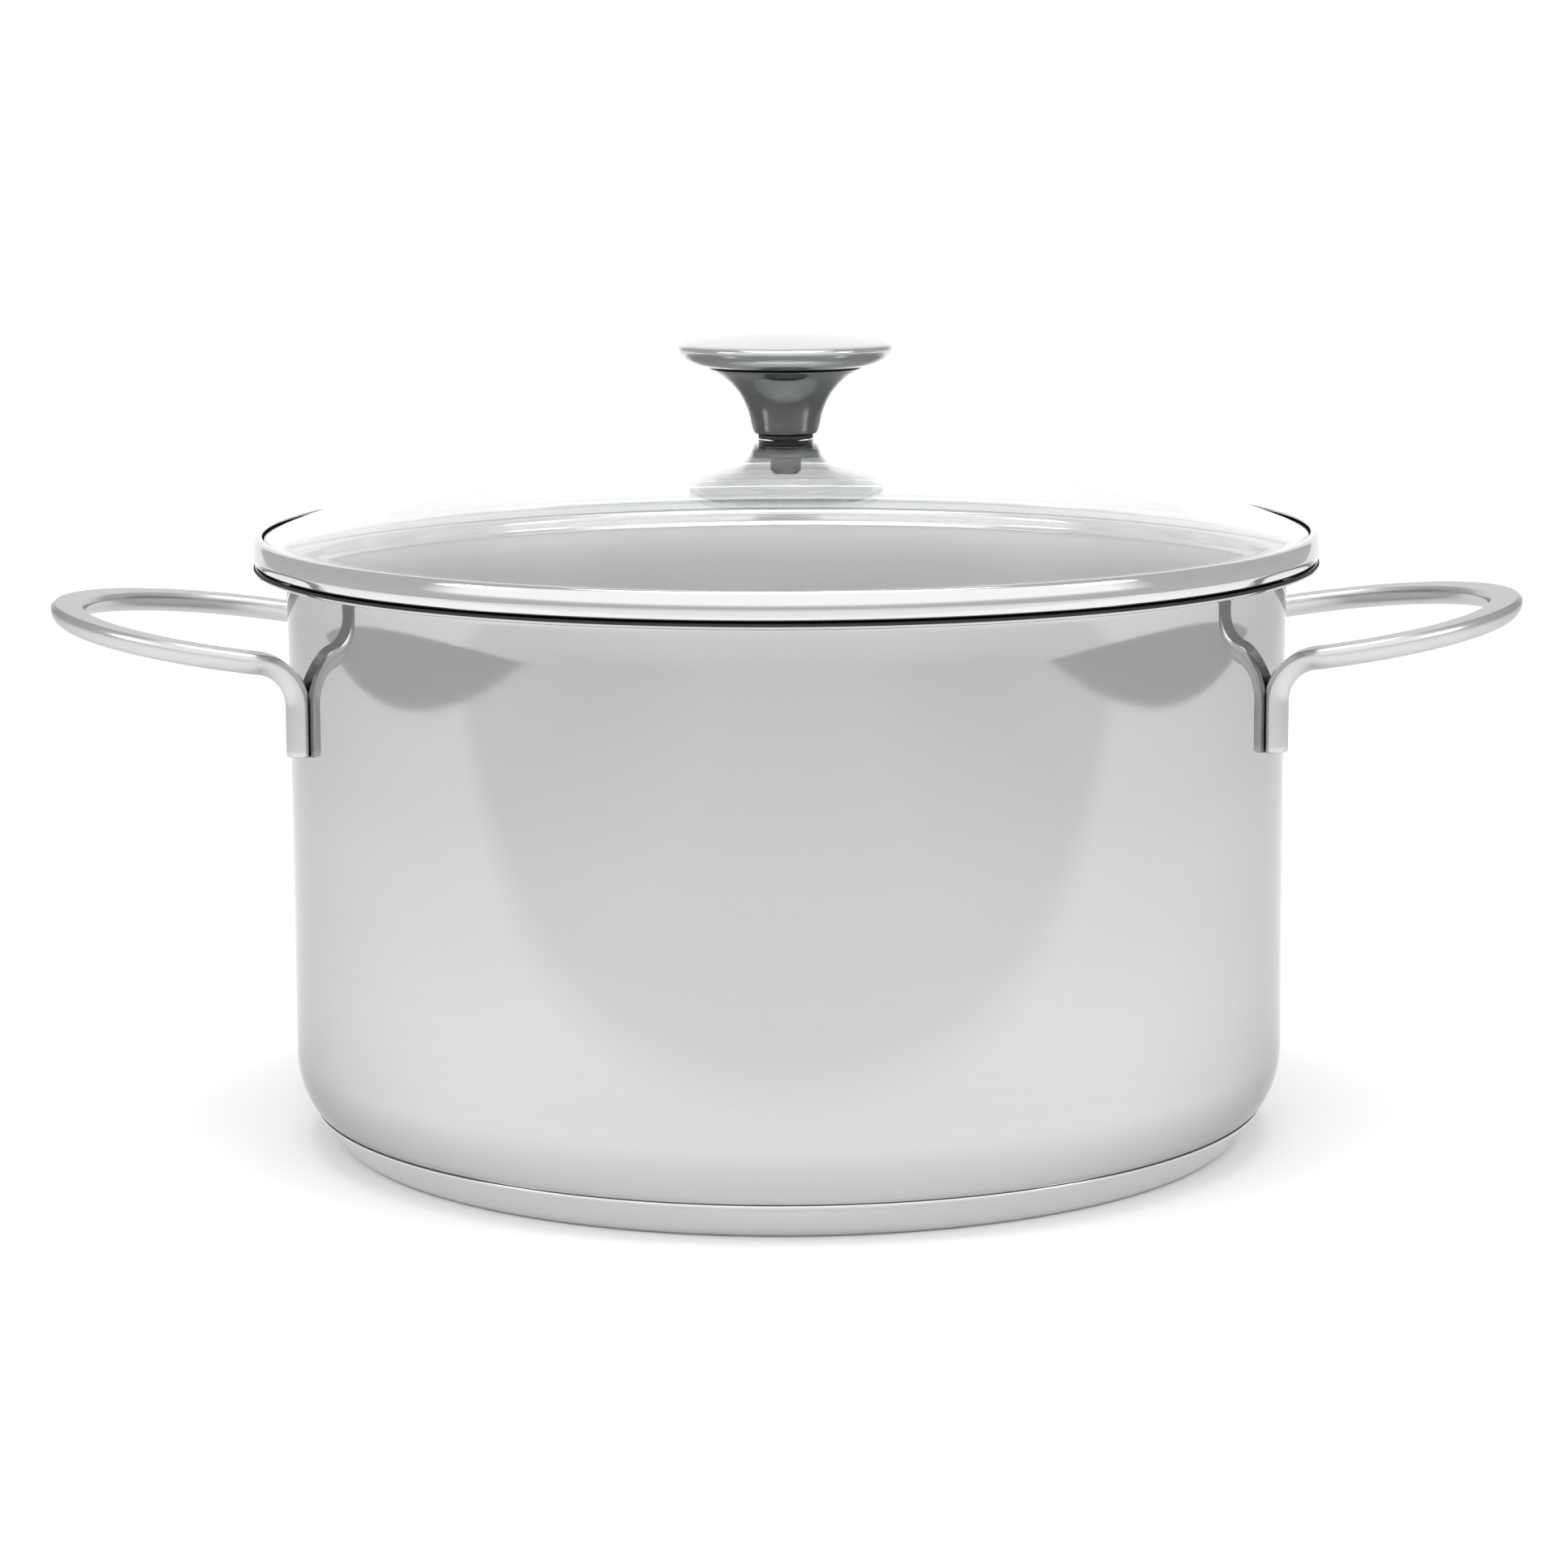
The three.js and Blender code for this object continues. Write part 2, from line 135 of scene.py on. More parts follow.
def eased(corners, radius, steps=5, closed=True):
    """Rounds all sharp corners of an outline at once.

    Each corner C becomes (1-t)^2 A + 2t(1-t) C + t^2 B, where A and B lie on the edges
    before and after it, at most `radius` away and never past EDGE_SHARE of the edge."""
    c = np.asarray(corners, float)
    before, after = np.roll(c, 1, 0), np.roll(c, -1, 0)

    def towards(other):
        edge = other - c
        length = np.linalg.norm(edge, axis=1, keepdims=True)
        return c + edge / length * np.minimum(radius, EDGE_SHARE * length)

    a, b = towards(before), towards(after)
    t = np.linspace(0, 1, steps)[None, :, None]
    out = (1 - t) ** 2 * a[:, None] + 2 * t * (1 - t) * c[:, None] + t ** 2 * b[:, None]
    into, away = c - before, after - c
    into = into / np.linalg.norm(into, axis=1)[:, None]
    away = away / np.linalg.norm(away, axis=1)[:, None]
    sharp = (into * away).sum(1) < SHARP
    if not closed:
        sharp[0] = sharp[-1] = False
    out[~sharp, 0] = c[~sharp]
    keep = sharp[:, None] | (np.arange(steps) == 0)
    return out[keep]


def turned(name, outline, around=AROUND):
    """Carries an outline in mm, counterclockwise in (radius, height), round the Z axis:
    (r, z) goes to (r cos a, r sin a, z). Ends on the axis become poles."""
    r, z = np.asarray(outline, float).T * MM
    on_axis = r[0] < 1e-9
    angle = np.arange(around) * 2 * np.pi / around
    points = np.stack([
        r[:, None] * np.cos(angle), r[:, None] * np.sin(angle), np.repeat(z[:, None], around, 1),
    ], -1)
    piece = skin(name, points, close_rows=not on_axis, poles=(on_axis, on_axis))
    print(f"{name}: {len(r)} rows, {triangles(piece)} triangles")
    return piece


def ellipse(centre_r, centre_z, half_w, half_h, start, end, count):
    """Points on an ellipse in (radius, height), from one angle to another in degrees."""
    a = np.radians(np.linspace(start, end, count))
    return np.stack([centre_r + half_w * np.cos(a), centre_z + half_h * np.sin(a)], -1)


def spline(knots, count):
    """A smooth line through a few [radius, height] knots: Catmull-Rom, each span a cubic
    whose slope at a knot is half the step between the knots on either side."""
    k = np.asarray(knots, float)
    k = np.vstack([2 * k[0] - k[1], k, 2 * k[-1] - k[-2]])
    u = np.linspace(0, len(k) - 3, count)
    n = np.minimum(u.astype(int), len(k) - 4)
    t = (u - n)[:, None]
    p0, p1, p2, p3 = (k[n + m] for m in range(4))
    return 0.5 * (2 * p1 + (p2 - p0) * t + (2 * p0 - 5 * p1 + 4 * p2 - p3) * t ** 2
                  + (3 * p1 - p0 - 3 * p2 + p3) * t ** 3)


# %% [markdown]
# ## Sizes from the frame
# The wide radii and the heights are read from the CAD nodes' boxes, so that the smooth
# pieces end exactly where the CAD pieces do.

# %% Read the boxes
def reach(node):
    """A node's widest radius and its lowest and highest point, in mm."""
    low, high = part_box(node)
    return high.y / MM, low.z / MM, high.z / MM


LIP_R, SHELL_FOOT, LIP_TOP = reach("pot_shell")
CAP_R, _, CAP_TOP = reach("base_cap")
RING_R, SKIRT_FOOT, RING_TOP = reach("lid_ring")
GLASS_R, _, GLASS_TOP = reach("lid_glass")
KNOB_R, KNOB_FOOT, KNOB_TOP = reach("knob_cap")
FLARE_R, STEM_FOOT, STEM_TOP = reach("knob_stem")
print(f"radii in mm: lip {LIP_R:.1f}, ring {RING_R:.1f}, knob {KNOB_R:.1f}")

# %% [markdown]
# ## Marks that several finishes share
# Steel is never one even grey. Polishing leaves fine rings round a turned piece, hands
# leave faint smudges, and brushing leaves lines along a rod. Each of these is a shader
# node group: it works a mask and a height out from the place on the surface, and any
# material can use it with its own strength.

# %% Node helpers
def add(tree, kind, inputs=None, **settings):
    """Adds a node. inputs gives each socket, by name or number, a value or an output to link."""
    node = tree.nodes.new("ShaderNode" + kind)
    for key, value in settings.items():
        setattr(node, key, value)
    for key, value in (inputs or {}).items():
        if isinstance(value, bpy.types.NodeSocket):
            tree.links.new(value, node.inputs[key])
        else:
            node.inputs[key].default_value = value
    return node


def maths(tree, operation, *values):
    """One Math node's output."""
    return add(tree, "Math", dict(enumerate(values)), operation=operation).outputs[0]


def span(tree, value, low, high, to_low=0.0, to_high=1.0):
    """A value moved from one range to another, and held inside it."""
    inputs = {"Value": value, "From Min": low, "From Max": high,
              "To Min": to_low, "To Max": to_high}
    return add(tree, "MapRange", inputs).outputs["Result"]


def grey(tree, level):
    """The colour whose red, green and blue are all this level."""
    return add(tree, "CombineColor", {0: level, 1: level, 2: level}).outputs[0]


def group(name, inputs, outputs):
    """A new shader node group. inputs gives each number its first value."""
    tree = bpy.data.node_groups.new(name, "ShaderNodeTree")
    kind = "NodeSocketFloat"
    for label, value in inputs.items():
        socket = tree.interface.new_socket(label, in_out="INPUT", socket_type=kind)
        socket.default_value = value
    for label in outputs:
        tree.interface.new_socket(label, in_out="OUTPUT", socket_type=kind)
    return tree, tree.nodes.new("NodeGroupInput").outputs, tree.nodes.new("NodeGroupOutput").inputs


def place(tree, made, **values):
    """Puts a node group in a material, with its own values."""
    node = tree.nodes.new("ShaderNodeGroup")
    node.node_tree = made
    for label, value in values.items():
        node.inputs[label.replace("_", " ")].default_value = value
    return node.outputs


# %% The groups
def turning_marks():
    """Fine rings round the Z axis: noise read at (distance from the axis, height), the same
    all the way round, so each tiny scratch is a full circle."""
    tree, given, out = group("Turning marks", {"Rings per metre": 4000.0}, ["Rings", "Bands"])
    place_xyz = add(tree, "SeparateXYZ", {0: add(tree, "TexCoord").outputs["Object"]}).outputs
    flat = add(tree, "CombineXYZ", {"X": place_xyz["X"], "Y": place_xyz["Y"]}).outputs[0]
    far = add(tree, "VectorMath", {0: flat}, operation="LENGTH").outputs["Value"]
    where = add(tree, "CombineXYZ", {"X": far, "Y": place_xyz["Z"]}).outputs[0]
    fine = add(tree, "TexNoise", {"Vector": where, "Scale": given[0], "Detail": 3.0})
    slow = maths(tree, "MULTIPLY", given[0], 0.04)
    broad = add(tree, "TexNoise", {"Vector": where, "Scale": slow, "Detail": 2.0})
    tree.links.new(fine.outputs["Fac"], out["Rings"])
    tree.links.new(broad.outputs["Fac"], out["Bands"])
    return tree


def rod_grain():
    """Brushing along a rod: noise read from the UV map, slow along the rod and fast round it."""
    tree, given, out = group("Rod grain", {"Lines": 160.0, "Streaks": 3.0}, ["Grain", "Streak"])
    uv = add(tree, "SeparateXYZ", {0: add(tree, "UVMap", uv_map="UVMap").outputs[0]}).outputs
    across = maths(tree, "MULTIPLY", uv["X"], given["Lines"])
    along = maths(tree, "MULTIPLY", uv["Y"], given["Streaks"])
    where = add(tree, "CombineXYZ", {"X": across, "Y": along}).outputs[0]
    fine = add(tree, "TexNoise", {"Vector": where, "Scale": 1.0, "Detail": 4.0})
    wide = add(tree, "TexNoise", {"Vector": where, "Scale": 0.11, "Detail": 1.0})
    tree.links.new(fine.outputs["Fac"], out["Grain"])
    tree.links.new(wide.outputs["Fac"], out["Streak"])
    return tree


def handling_marks():
    """Smudges a few centimetres across with soft edges, and a scatter of hair-fine scratches
    where a stretched noise comes close to its middle value."""
    often = {"Smudges per metre": 14.0, "Scratches per metre": 90.0}
    tree, given, out = group("Handling marks", often, ["Smudge", "Scratch"])
    where = add(tree, "TexCoord").outputs["Object"]
    soft = add(tree, "TexNoise",
               {"Vector": where, "Scale": given[0], "Detail": 3.0, "Distortion": 0.6})
    tree.links.new(span(tree, soft.outputs["Fac"], 0.46, 0.72), out["Smudge"])
    stretch = add(tree, "Mapping",
                  {"Vector": where, "Rotation": (0.4, 0.5, 0.6), "Scale": (1, 1, 0.12)})
    lines = add(tree, "TexNoise", {"Vector": stretch.outputs[0], "Scale": given[1], "Detail": 2.0})
    near = maths(tree, "ABSOLUTE", maths(tree, "SUBTRACT", lines.outputs["Fac"], 0.5))
    smudged = span(tree, soft.outputs["Fac"], 0.5, 0.6)
    hair = maths(tree, "MULTIPLY", span(tree, near, 0.003, 0.0), smudged)
    tree.links.new(hair, out["Scratch"])
    return tree


TURNING = turning_marks()
GRAIN = rod_grain()
HANDLING = handling_marks()
print("node groups", [g.name for g in bpy.data.node_groups])


# %% [markdown]
# ## The finishes
# Each material has one Principled shader. Numbers that stay the same over the whole
# surface sit on its own sockets; only what changes from place to place is linked in.
# Mirror steel reflects a little over half of the light, nearly evenly in all colours, and
# its blur is small but not zero. Satin steel has a wider blur. A steel's tone is one level,
# with a trace more green and blue than red.

# %% Steel
MICRON = 0.000001
TONE_SWING = 0.035      # how much lighter or darker the turning marks make the steel


def shader(name, **values):
    """A material with its Principled shader, whose sockets take these values."""
    material = bpy.data.materials.new(name)
    material.use_nodes = True
    tree = material.node_tree
    main = tree.nodes["Principled BSDF"]
    for label, value in values.items():
        main.inputs[label.replace("_", " ")].default_value = value
    return material, tree, main


def tinted(tree, mask, dark, light):
    """A colour that runs from dark to light with a mask."""
    mix = add(tree, "Mix", {"Factor": mask}, data_type="RGBA")
    mix.inputs[6].default_value, mix.inputs[7].default_value = (*dark, 1), (*light, 1)
    return mix.outputs[2]


def steel(name, level, blur, rings, ring_height, smudge=0.03, brushed=False, edge=1.0):
    """Steel of one tone. blur is its roughness, rings the turning marks per metre or the
    brushed lines round a rod, and ring_height how deep they are, in metres. edge is how much
    of the light is left where the surface is seen at a slant of 82 degrees."""
    tone = (level, level + 0.002, level + 0.006)
    material, tree, main = shader(name, Metallic=1.0, Specular_Tint=(edge, edge, edge, 1))
    hand = place(tree, HANDLING)
    if brushed:
        fine, broad = place(tree, GRAIN, Lines=rings)[:2]
    else:
        fine, broad = place(tree, TURNING, Rings_per_metre=rings)[:2]
    mask = maths(tree, "MULTIPLY_ADD", broad, 0.7, maths(tree, "MULTIPLY", fine, 0.3))
    low, high = [c * (1 - TONE_SWING) for c in tone], [c * (1 + TONE_SWING) for c in tone]
    tree.links.new(tinted(tree, mask, low, high), main.inputs["Base Color"])
    rough = maths(tree, "MULTIPLY_ADD", hand["Smudge"], smudge, blur)
    rough = maths(tree, "MULTIPLY_ADD", fine, blur * 0.3, rough)
    rough = maths(tree, "MULTIPLY_ADD", hand["Scratch"], smudge * 0.5, rough)
    tree.links.new(rough, main.inputs["Roughness"])
    bump = add(tree, "Bump", {"Height": fine, "Distance": ring_height, "Strength": 1.0})
    tree.links.new(bump.outputs[0], main.inputs["Normal"])
    return material


wall_steel = steel("Mirror steel, wall", 0.535, 0.035, 900.0, 0.4 * MICRON, 0.02, edge=0.72)
# Painted light: the inside's tone is set far lighter than the wall's, so it looks bright through
# the glass.
inner_steel_painted_light = steel("Satin steel, inside, painted light", 0.81, 0.26, 1800.0, 0.8 * MICRON)
bottom_steel = steel("Ground steel, inside bottom", 0.43, 0.36, 1500.0, 1.2 * MICRON)
ring_steel = steel("Mirror steel, lid ring", 0.67, 0.06, 2500.0, 0.6 * MICRON, edge=0.88)
# Partly painted light: the polish is real, but the tone is raised above the wall's to lift the
# shade it reflects from the floor.
base_steel_painted_light = steel("Polished steel, base, partly painted light", 0.71, 0.13, 3500.0, 1.0 * MICRON)
rod_steel = steel("Satin steel, handles", 0.56, 0.21, 150.0, 4.0 * MICRON,
                  brushed=True, edge=0.68)
knob_steel = steel("Satin steel, knob edge", 0.53, 0.12, 5000.0, 1.5 * MICRON)
# Painted shade: a tone far below steel's, for the shade under the knob's disc.
stem_steel_painted_shade = steel("Satin steel, knob stem, painted shade", 0.25, 0.14, 5000.0, 1.5 * MICRON)
knob_top_steel = steel("Satin steel, knob top", 0.60, 0.22, 6000.0, 1.5 * MICRON)
washer_steel = steel("Zinc-white steel, screw and washer", 0.42, 0.24, 4000.0, 2.0 * MICRON)

# %% [markdown]
# The crevice between the lid's ring and the pot's lip is less than a millimetre high. Light
# that goes in hardly comes back out. That shade is painted: the ring's underside and the
# outermost edge of the lip get a dull, nearly black colour that stands in for it. The rest of
# the lip stays steel, because it shows when the lid is lifted.

# %% Crevice, silicone, aluminium, brass
def dull(name, dark, light, rough, metallic=0.0, scale=160.0, height=0.00002):
    """A plain matt finish: noise tints it, changes its gloss a little and roughens it."""
    material, tree, main = shader(name, Metallic=metallic)
    where = add(tree, "TexCoord").outputs["Object"]
    noise = add(tree, "TexNoise", {"Vector": where, "Scale": scale, "Detail": 4.0}).outputs["Fac"]
    tree.links.new(tinted(tree, noise, dark, light), main.inputs["Base Color"])
    gloss = span(tree, noise, 0.3, 0.7, rough - 0.06, rough + 0.06)
    tree.links.new(gloss, main.inputs["Roughness"])
    bump = add(tree, "Bump", {"Height": noise, "Distance": height})
    tree.links.new(bump.outputs[0], main.inputs["Normal"])
    return material


# Painted shade: this nearly black colour stands in for the shadow inside the crevice.
crevice = dull("Painted crevice shade", (0.004, 0.004, 0.004), (0.012, 0.012, 0.012), 0.7)
silicone = dull("Black silicone", (0.018, 0.018, 0.02), (0.034, 0.034, 0.036), 0.55,
                scale=900.0)
milky = dull("Milky silicone", (0.50, 0.51, 0.51), (0.60, 0.61, 0.61), 0.45, scale=700.0)
aluminium = dull("Pressed aluminium", (0.52, 0.53, 0.54), (0.62, 0.63, 0.64), 0.42, 1.0,
                 scale=300.0)
brass = dull("Turned brass", (0.60, 0.44, 0.20), (0.74, 0.57, 0.28), 0.32, 1.0, scale=400.0)

# %% [markdown]
# Tempered glass is clear with a very slight grey-green cast. It is a closed solid with two
# faces, so one Principled shader with full transmission bends the light as real glass does.
# Lamps shine through it: for their rays the material is nearly transparent.

# %% Glass
def clear_glass():
    """Glass for an eye, and almost nothing for rays that come from a lamp."""
    material, tree, main = shader("Tempered glass", Metallic=0.0, Transmission_Weight=1.0, IOR=1.5)
    hand = place(tree, HANDLING, Smudges_per_metre=9.0)
    cast = tinted(tree, hand["Smudge"], (0.965, 0.975, 0.972), (0.985, 0.99, 0.988))
    tree.links.new(cast, main.inputs["Base Color"])
    tree.links.new(maths(tree, "MULTIPLY", hand["Smudge"], 0.012), main.inputs["Roughness"])
    open_glass = add(tree, "BsdfTransparent", {"Color": (0.93, 0.95, 0.945, 1)})
    path = add(tree, "LightPath").outputs["Is Shadow Ray"]
    mix = add(tree, "MixShader", {0: path, 1: main.outputs[0], 2: open_glass.outputs[0]})
    tree.links.new(mix.outputs[0], tree.nodes["Material Output"].inputs["Surface"])
    return material


glass = clear_glass()
print(len(bpy.data.materials), "materials")


# %% [markdown]
# ## Putting a piece in its place
# Each smooth piece stands for one CAD node: it gets a material of its own, hides the node,
# and rides on the same body, so that it moves with the lid or stays with the pot.

# %% Finish a piece
BODIES = frame["record"]["behaviour"]["bodies"]


def finish_piece(piece, node, material, painted_shade_band=None):
    """Gives a piece its material, slot, node and body. Faces whose middle lies between the
    two heights of the shade band and outside its radius, in mm, get painted crevice shade."""
    mesh = piece.data
    mesh.materials.append(material)
    # Painted shade: faces inside the band get the crevice's nearly black colour.
    if painted_shade_band:
        mesh.materials.append(crevice)
        foot, top, least_r = painted_shade_band
        x, y, z = face_data(mesh, "center").T / MM
        inside = (z > foot) & (z < top) & (np.hypot(x, y) > least_r)
        mesh.polygons.foreach_set("material_index", inside.astype(np.int32))
    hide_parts(node)
    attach(piece, next(body for body, nodes in BODIES.items() if node in nodes))


def refinish_node(node, material):
    """Gives a CAD node that stays in view a better material."""
    slots = frame["nodes"][node].data.materials
    slots.clear()
    slots.append(material)


# %% [markdown]
# ## The pot shell
# One steel sheet, drawn deep: a flat bottom, a rounded corner, a straight wall and a rim
# that turns out for pouring. Near the top the wall already leans out by a hair. It is too
# little to measure by eye, but a mirror shows it: the reflection folds over there. The
# outline runs up the outside, round the rolled lip and back down the inside.

# %% Make the shell
SHEET = 0.9             # thickness of the shell, mm
WALL_R = 120.6
CORNER_W, CORNER_H = 9.4, 16.0
RIM_FOOT = 138.4
LEAN_FOOT, LEAN = 129.5, 0.30     # where the wall starts to lean out, and by how much
LIP_ROUND = 0.75
LIP_EDGE = 0.35         # width of the lip's outermost edge, which lies in the crevice
MID_R = 60.0            # a row of points halfway out on the flat bottom


def wall_line(z, inset):
    """Radius of the wall at height z: straight, then a parabola that leans out."""
    up = np.clip((z - LEAN_FOOT) / (RIM_FOOT - LEAN_FOOT), 0, 1)
    return np.stack([WALL_R - inset + LEAN * up ** 2, z], -1)


corner_r, corner_z = WALL_R - CORNER_W, SHELL_FOOT + CORNER_H
outside = np.vstack([
    ellipse(corner_r, corner_z, CORNER_W, CORNER_H, -90, 0, 28),
    wall_line(np.linspace(corner_z + 6, LEAN_FOOT, 6), 0),
    wall_line(np.linspace(LEAN_FOOT + 0.7, RIM_FOOT, 9), 0),
    spline([[WALL_R + 0.9, RIM_FOOT + 0.5], [WALL_R + 3.4, RIM_FOOT + 0.9],
            [LIP_R - 1.15, LIP_TOP - 2 * LIP_ROUND]], 7),
    ellipse(LIP_R - LIP_ROUND, LIP_TOP - LIP_ROUND, LIP_ROUND, LIP_ROUND, -75, 90, 12),
])
inside = np.vstack([
    [[LIP_R - 2.2, LIP_TOP - 0.3], [WALL_R + 0.7, RIM_FOOT + 1.6]],
    wall_line(np.linspace(RIM_FOOT + 0.6, LEAN_FOOT, 6), SHEET),
    wall_line(np.linspace(LEAN_FOOT - 6, corner_z + 6, 5), SHEET),
    ellipse(corner_r, corner_z, CORNER_W - SHEET, CORNER_H - SHEET, 0, -90, 24),
])
shell_outline = np.vstack([
    [[0, SHELL_FOOT], [MID_R, SHELL_FOOT]], outside, inside,
    [[MID_R, SHELL_FOOT + SHEET], [0, SHELL_FOOT + SHEET]],
])
shell = turned("shell", eased(shell_outline, 0.25, 3, closed=False), 256)
# The lip's outermost edge gets painted crevice shade.
finish_piece(shell, "pot_shell", wall_steel,
             painted_shade_band=(LIP_TOP - LIP_ROUND, LIP_TOP, LIP_R - LIP_EDGE))

# %% [markdown]
# The inside is not a mirror. Its wall is satin, and its bottom is ground in rings. So the
# faces that look towards the axis, and those of the bottom, get finishes of their own. The
# satin wall's colour is also painted much lighter than the outer steel: painted light, so
# that the inside looks bright through the glass.

# %% Finish the inside
shell.data.materials.append(inner_steel_painted_light)
shell.data.materials.append(bottom_steel)
middle, normal = face_data(shell.data, "center"), face_data(shell.data, "normal")
inwards = (middle[:, :2] * normal[:, :2]).sum(1) < 0
lower = middle[:, 2] < (RIM_FOOT - 1) * MM
bottom = (normal[:, 2] > 0.5) & (middle[:, 2] < corner_z * MM)
index = np.empty(len(shell.data.polygons), np.int32)
shell.data.polygons.foreach_get("material_index", index)
INSIDE_SLOT, BOTTOM_SLOT = 2, 3         # slots 0 and 1 hold the wall and the crevice
index[inwards & lower] = INSIDE_SLOT
index[bottom] = BOTTOM_SLOT
shell.data.polygons.foreach_set("material_index", index)
print("faces of each finish:", np.bincount(index))

# %% [markdown]
# ## The capped base
# A thick aluminium disc under the bottom spreads the heat, and a shallow steel cap closes
# it in. The cap's edge stops just short of the shell's corner and leaves a thin groove all
# the way round. The edge is turned in, so that the groove has depth and stays dark.

# %% Make the cap
STAND_R = 108.6         # edge of the flat that the pot stands on
CAP_SHEET = 0.7
cap_side = spline([[STAND_R + 0.6, 0.25], [110.8, 1.5], [112.6, 4.0], [115.0, 7.0],
                   [CAP_R - 0.25, CAP_TOP - 0.75]], 22)
cap_outline = np.vstack([
    [[0, 0], [STAND_R - 20, 0], [STAND_R - 0.8, 0]],
    cap_side,
    [[CAP_R, CAP_TOP - 0.3], [CAP_R - 0.2, CAP_TOP], [CAP_R - 0.9, CAP_TOP - 0.6]],
    (cap_side - [0.95, -0.25])[-3::-3],
    [[STAND_R - 0.8, CAP_SHEET], [0, CAP_SHEET]],
])
cap = turned("base_cap_steel", eased(cap_outline, 0.18, 3, closed=False), 256)
# The cap's steel has a tone raised as painted light.
finish_piece(cap, "base_cap", base_steel_painted_light)
refinish_node("base_core", aluminium)

# %% [markdown]
# ## The lid's ring
# A second sheet makes the ring: a band that bulges a little, its top folded in over the
# glass and its foot curled under, a web that rests on the lip, and a skirt that centres the
# lid. The bulge matters, because it sweeps the reflection from the floor to the ceiling
# within five millimetres. The skirt is seen through the glass. Its top is a soft bend and
# its foot curls inwards, and each of the two catches a thin arc of light.

# %% Make the ring
RING_FOOT = LIP_TOP + 0.3
FOLD_R = RING_R - 2.4   # inner edge of the top fold
SKIRT_R = 118.9
RING_SHEET = 0.6
SKIRT_IN = SKIRT_R - RING_SHEET
band = spline([[RING_R - 1.0, RING_FOOT + 0.05], [RING_R - 0.45, RING_FOOT + 0.55],
               [RING_R - 0.05, RING_FOOT + 1.9], [RING_R - 0.04, RING_FOOT + 3.4],
               [RING_R - 0.22, RING_FOOT + 4.9], [RING_R - 0.65, RING_TOP - 0.55],
               [RING_R - 1.35, RING_TOP - 0.05]], 34)
skirt_face = spline([[SKIRT_R + 0.9, RING_FOOT + RING_SHEET],
                     [SKIRT_R + 0.15, RING_FOOT + RING_SHEET - 0.15],
                     [SKIRT_IN + 0.1, RING_FOOT - 0.5], [SKIRT_IN - 0.1, RING_FOOT - 1.6],
                     [SKIRT_IN - 0.3, SKIRT_FOOT + 1.3], [SKIRT_IN - 0.75, SKIRT_FOOT + 0.75],
                     [SKIRT_IN - 1.3, SKIRT_FOOT + 0.6]], 30)
ring_outline = np.vstack([
    [[SKIRT_R, SKIRT_FOOT], [SKIRT_R, RING_FOOT - 0.5], [SKIRT_R + 0.5, RING_FOOT],
     [RING_R - 1.4, RING_FOOT]],
    band,
    [[FOLD_R, RING_TOP], [FOLD_R, RING_TOP - 0.5], [RING_R - 1.4, RING_TOP - RING_SHEET]],
    [[RING_R - RING_SHEET - 0.4, RING_TOP - 1.6], [RING_R - RING_SHEET - 0.1, RING_FOOT + 2.2]],
    [[RING_R - 1.4, RING_FOOT + RING_SHEET]],
    skirt_face,
    [[SKIRT_IN - 1.5, SKIRT_FOOT + 0.3], [SKIRT_IN - 1.2, SKIRT_FOOT]],
])
ring = turned("ring", eased(ring_outline, 0.15, 3), 288)
# The ring's underside at its foot gets painted crevice shade.
finish_piece(ring, "lid_ring", ring_steel,
             painted_shade_band=(RING_FOOT - 0.02, RING_FOOT + 0.25, SKIRT_R + 1))

# %% [markdown]
# ## The glass and its bedding
# The glass is part of a sphere, four millimetres thick, with a ground edge and a hole for
# the knob's screw. It lies on a wedge of silicone inside the ring.

# %% Make the glass
GLASS_T = 4.0
HOLE_R = 4.6
DOME_R = 368.0          # sphere radius of the outside
SEAL_GAP = 0.2
APEX = GLASS_TOP + DOME_R - math.sqrt(DOME_R ** 2 - HOLE_R ** 2)


def dome(depth, r):
    """The glass at a distance r from the axis, this far below its outside: a sphere whose
    centre lies on the axis, DOME_R below the apex."""
    big = DOME_R - depth
    return np.stack([r, APEX - depth - big + np.sqrt(big ** 2 - r ** 2)], -1)


EDGE_GRIND = 1.2        # width of the bevel ground round the glass's edge
glass_outline = np.vstack([
    dome(GLASS_T, np.linspace(HOLE_R, GLASS_R - EDGE_GRIND, 48)),
    dome(GLASS_T - 0.6, np.array([GLASS_R])), dome(0.7, np.array([GLASS_R])),
    dome(0, np.linspace(GLASS_R - EDGE_GRIND, HOLE_R, 48)),
])
pane = turned("pane", eased(glass_outline, 0.3, 3), 256)
finish_piece(pane, "lid_glass", glass)

BED_R = 122.5
bed_foot = RING_FOOT + RING_SHEET + SEAL_GAP
under = dome(GLASS_T, np.linspace(GLASS_R - 0.6, BED_R, 5)) - [0, SEAL_GAP]
bed_outline = np.vstack([[[BED_R, bed_foot], [GLASS_R - 0.6, bed_foot]], under])
bedding = turned("bedding", eased(bed_outline, 0.15, 3))
finish_piece(bedding, "rim_bedding", milky)

# %% [markdown]
# ## The knob
# A turned disc on a trumpet-shaped stem. The disc is a shallow dome with a rounded edge;
# the stem flares up to it in one sweep. Both are turned on a lathe, so they carry fine
# rings that drag every highlight round the axis. The stem's steel is painted far darker
# than the rest: painted shade under the disc.

